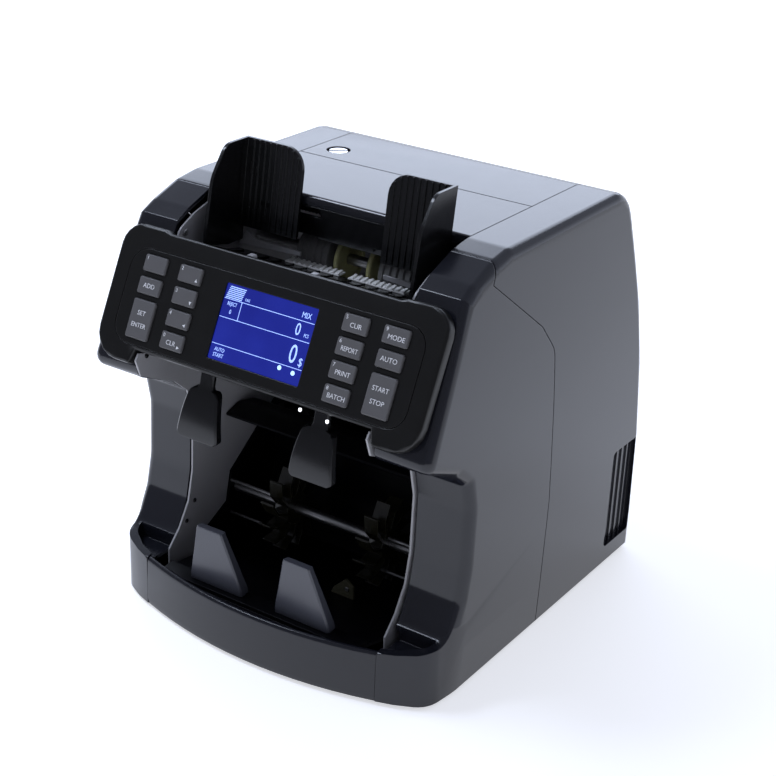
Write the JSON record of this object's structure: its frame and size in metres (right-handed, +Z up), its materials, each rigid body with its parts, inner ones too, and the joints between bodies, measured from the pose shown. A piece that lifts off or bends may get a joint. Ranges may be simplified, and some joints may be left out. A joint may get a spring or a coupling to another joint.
{
  "type": "banknote counter",
  "caption": "Desktop two-pocket banknote counter: top hopper with sliding guides, tilted display and keypad, upper reject pocket, lower stacker with finned wheels.",
  "frame": {"origin": "on the surface it stands on, under the middle of its outer box", "axes": "+Z up, front faces -Y, +X to the user's right hand"},
  "size_m": [0.292, 0.331, 0.352],
  "materials": {
    "cover": "satin-gloss black moulding with fine grain",
    "panel": "satin very dark brown-black",
    "key": "satin slate grey",
    "black": "satin black",
    "stop": "satin dark grey",
    "steel": "brushed",
    "chrome": "bright turned",
    "sheet": "grey satin sheet",
    "rubber": "ribbed matt grey",
    "yellow": "matt olive yellow urethane",
    "display": "clear window over a blue display",
    "board": "green laminate",
    "foot": "matt black"
  },
  "bodies": {
    "root": {"front_lip": "cover", "left_front_cover": "cover", "right_front_cover": "cover", "left_rear_cover": "cover", "right_rear_cover": "cover", "top_front_cover": "cover", "panel_housing": "panel", "keypad_plate": "panel", "feed_table": "black", "base_tray": "black", "rear_panel": "black", "power_inlet": "black", "hopper_back": "black", "reject_roof": "black", "reject_floor": "black", "stacker_floor": "black", "stacker_back": "black", "display_module": "black", "left_stacker_stop": "stop", "right_stacker_stop": "stop", "drive_motor": "steel", "left_side_plate": "sheet", "right_side_plate": "sheet", "power_supply": "sheet", "display_window": "display", "control_board": "board", "foot_front_left": "foot", "foot_front_right": "foot", "foot_rear_left": "foot", "foot_rear_right": "foot"},
    "rear_hatch": {"rear_door": "cover"},
    "hatch_latch": {"door_latch": "chrome"},
    "guide_left": {"left_guide": "black"},
    "guide_right": {"right_guide": "black"},
    "pinion": {"guide_pinion": "stop"},
    "feed_set": {"feed_shaft": "steel", "left_feed_roller": "rubber", "right_feed_roller": "rubber", "left_picking_ring": "yellow", "right_picking_ring": "yellow"},
    "stacker_set": {"stacker_shaft": "steel", "left_stacker_wheel": "black", "right_stacker_wheel": "black"},
    "reject_flap_left": {"left_reject_stop": "black"},
    "reject_flap_right": {"right_reject_stop": "black"},
    "power_rocker": {"power_switch": "black"},
    "key_left_outer_1_body": {"key_left_outer_1": "key"},
    "key_left_outer_2_body": {"key_left_outer_2": "key"},
    "key_left_outer_tall_body": {"key_left_outer_tall": "key"},
    "key_left_inner_1_body": {"key_left_inner_1": "key"},
    "key_left_inner_2_body": {"key_left_inner_2": "key"},
    "key_left_inner_3_body": {"key_left_inner_3": "key"},
    "key_left_inner_4_body": {"key_left_inner_4": "key"},
    "key_right_outer_1_body": {"key_right_outer_1": "key"},
    "key_right_outer_2_body": {"key_right_outer_2": "key"},
    "key_right_outer_tall_body": {"key_right_outer_tall": "key"},
    "key_right_inner_1_body": {"key_right_inner_1": "key"},
    "key_right_inner_2_body": {"key_right_inner_2": "key"},
    "key_right_inner_3_body": {"key_right_inner_3": "key"},
    "key_right_inner_4_body": {"key_right_inner_4": "key"}
  },
  "joints": [
    {"name": "hatch_hinge", "type": "hinge", "parent": "root", "child": "rear_hatch", "pos_m": [0, 0.1623, 0.0465], "axis": [-1, 0, 0], "range_deg": [0, 80]},
    {"name": "latch_turn", "type": "hinge", "parent": "rear_hatch", "child": "hatch_latch", "pos_m": [-0.082, 0.0535, 0.318], "axis": [0, 0, 1], "range_deg": [0, 90]},
    {"name": "guide_right_slide", "type": "slide", "parent": "root", "child": "guide_right", "axis": [-1, 0, 0], "range_m": [-0.007, 0.03]},
    {"name": "guide_left_slide", "type": "slide", "parent": "root", "child": "guide_left", "axis": [1, 0, 0], "range_m": [-0.007, 0.03]},
    {"name": "pinion_spin", "type": "hinge", "parent": "root", "child": "pinion", "pos_m": [0, -0.0405, 0.298], "axis": [0, 1, 0], "range_deg": [-66.86, 286.49]},
    {"name": "feed_spin", "type": "hinge", "parent": "root", "child": "feed_set", "pos_m": [0, -0.0245, 0.269], "axis": [1, 0, 0], "continuous": true},
    {"name": "stacker_spin", "type": "hinge", "parent": "root", "child": "stacker_set", "pos_m": [0, -0.0505, 0.066], "axis": [1, 0, 0], "continuous": true},
    {"name": "reject_flap_left_swing", "type": "hinge", "parent": "root", "child": "reject_flap_left", "pos_m": [-0.0495, -0.143, 0.206], "axis": [-1, 0, 0], "range_deg": [0, 40]},
    {"name": "reject_flap_right_swing", "type": "hinge", "parent": "root", "child": "reject_flap_right", "pos_m": [0.0495, -0.143, 0.206], "axis": [-1, 0, 0], "range_deg": [0, 40]},
    {"name": "power_rocker_tip", "type": "hinge", "parent": "root", "child": "power_rocker", "pos_m": [-0.034, 0.1585, 0.024], "axis": [1, 0, 0], "range_deg": [-6, 6]},
    {"name": "key_left_outer_1_press", "type": "slide", "parent": "root", "child": "key_left_outer_1_body", "axis": [0, 0.9048, -0.4258], "range_m": [0, 0.001], "stiffness_N_per_m": 500, "springref_m": -0.001},
    {"name": "key_left_outer_2_press", "type": "slide", "parent": "root", "child": "key_left_outer_2_body", "axis": [0, 0.9048, -0.4258], "range_m": [0, 0.001], "stiffness_N_per_m": 500, "springref_m": -0.001},
    {"name": "key_left_outer_tall_press", "type": "slide", "parent": "root", "child": "key_left_outer_tall_body", "axis": [0, 0.9048, -0.4258], "range_m": [0, 0.001], "stiffness_N_per_m": 500, "springref_m": -0.001},
    {"name": "key_left_inner_1_press", "type": "slide", "parent": "root", "child": "key_left_inner_1_body", "axis": [0, 0.9048, -0.4258], "range_m": [0, 0.001], "stiffness_N_per_m": 500, "springref_m": -0.001},
    {"name": "key_left_inner_2_press", "type": "slide", "parent": "root", "child": "key_left_inner_2_body", "axis": [0, 0.9048, -0.4258], "range_m": [0, 0.001], "stiffness_N_per_m": 500, "springref_m": -0.001},
    {"name": "key_left_inner_3_press", "type": "slide", "parent": "root", "child": "key_left_inner_3_body", "axis": [0, 0.9048, -0.4258], "range_m": [0, 0.001], "stiffness_N_per_m": 500, "springref_m": -0.001},
    {"name": "key_left_inner_4_press", "type": "slide", "parent": "root", "child": "key_left_inner_4_body", "axis": [0, 0.9048, -0.4258], "range_m": [0, 0.001], "stiffness_N_per_m": 500, "springref_m": -0.001},
    {"name": "key_right_outer_1_press", "type": "slide", "parent": "root", "child": "key_right_outer_1_body", "axis": [0, 0.9048, -0.4258], "range_m": [0, 0.001], "stiffness_N_per_m": 500, "springref_m": -0.001},
    {"name": "key_right_outer_2_press", "type": "slide", "parent": "root", "child": "key_right_outer_2_body", "axis": [0, 0.9048, -0.4258], "range_m": [0, 0.001], "stiffness_N_per_m": 500, "springref_m": -0.001},
    {"name": "key_right_outer_tall_press", "type": "slide", "parent": "root", "child": "key_right_outer_tall_body", "axis": [0, 0.9048, -0.4258], "range_m": [0, 0.001], "stiffness_N_per_m": 500, "springref_m": -0.001},
    {"name": "key_right_inner_1_press", "type": "slide", "parent": "root", "child": "key_right_inner_1_body", "axis": [0, 0.9048, -0.4258], "range_m": [0, 0.001], "stiffness_N_per_m": 500, "springref_m": -0.001},
    {"name": "key_right_inner_2_press", "type": "slide", "parent": "root", "child": "key_right_inner_2_body", "axis": [0, 0.9048, -0.4258], "range_m": [0, 0.001], "stiffness_N_per_m": 500, "springref_m": -0.001},
    {"name": "key_right_inner_3_press", "type": "slide", "parent": "root", "child": "key_right_inner_3_body", "axis": [0, 0.9048, -0.4258], "range_m": [0, 0.001], "stiffness_N_per_m": 500, "springref_m": -0.001},
    {"name": "key_right_inner_4_press", "type": "slide", "parent": "root", "child": "key_right_inner_4_body", "axis": [0, 0.9048, -0.4258], "range_m": [0, 0.001], "stiffness_N_per_m": 500, "springref_m": -0.001}
  ],
  "couplings": [
    {"joint": "guide_right_slide", "follows": "guide_left_slide", "ratio": 1},
    {"joint": "pinion_spin", "follows": "guide_left_slide", "rad_per_m": 166.67}
  ]
}
